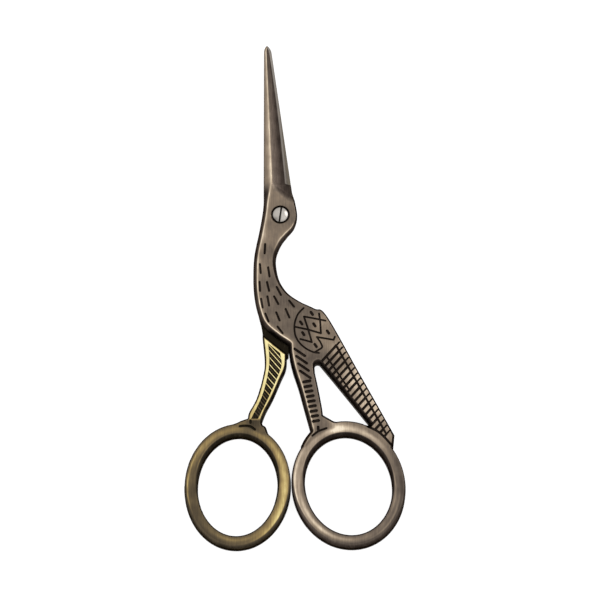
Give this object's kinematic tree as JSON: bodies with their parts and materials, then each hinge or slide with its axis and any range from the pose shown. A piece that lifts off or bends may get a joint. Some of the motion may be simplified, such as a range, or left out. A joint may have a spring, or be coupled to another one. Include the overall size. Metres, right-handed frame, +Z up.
{
  "type": "stork embroidery scissors",
  "caption": "Small embroidery scissors shaped as a stork: the blades are the beak, the legs end in two finger rings, and a slotted screw is the eye.",
  "frame": {"origin": "on the pivot axis, at the screw's flush end in the underside that the closed scissors rest on", "axes": "+Y towards the blade tips, +Z up out of the face that shows the whole bird, +X to the right, towards the tail"},
  "size_m": [0.0481, 0.1147, 0.0035],
  "materials": {
    "bronzed_steel": "antique bronze plating, brushed, dark in the recesses",
    "brassed_steel": "antique brass plating, brushed, dark in the recesses",
    "bright_steel": "polished, with fine scratches"
  },
  "bodies": {
    "front": {"front_half": "bronzed_steel"},
    "rear": {"rear_half": "brassed_steel", "pivot_screw": "bright_steel"}
  },
  "joints": [
    {"name": "pivot", "type": "hinge", "parent": "front", "child": "rear", "pos_m": [0, 0, 0], "axis": [0, 0, -1], "range_deg": [0, 60]}
  ]
}
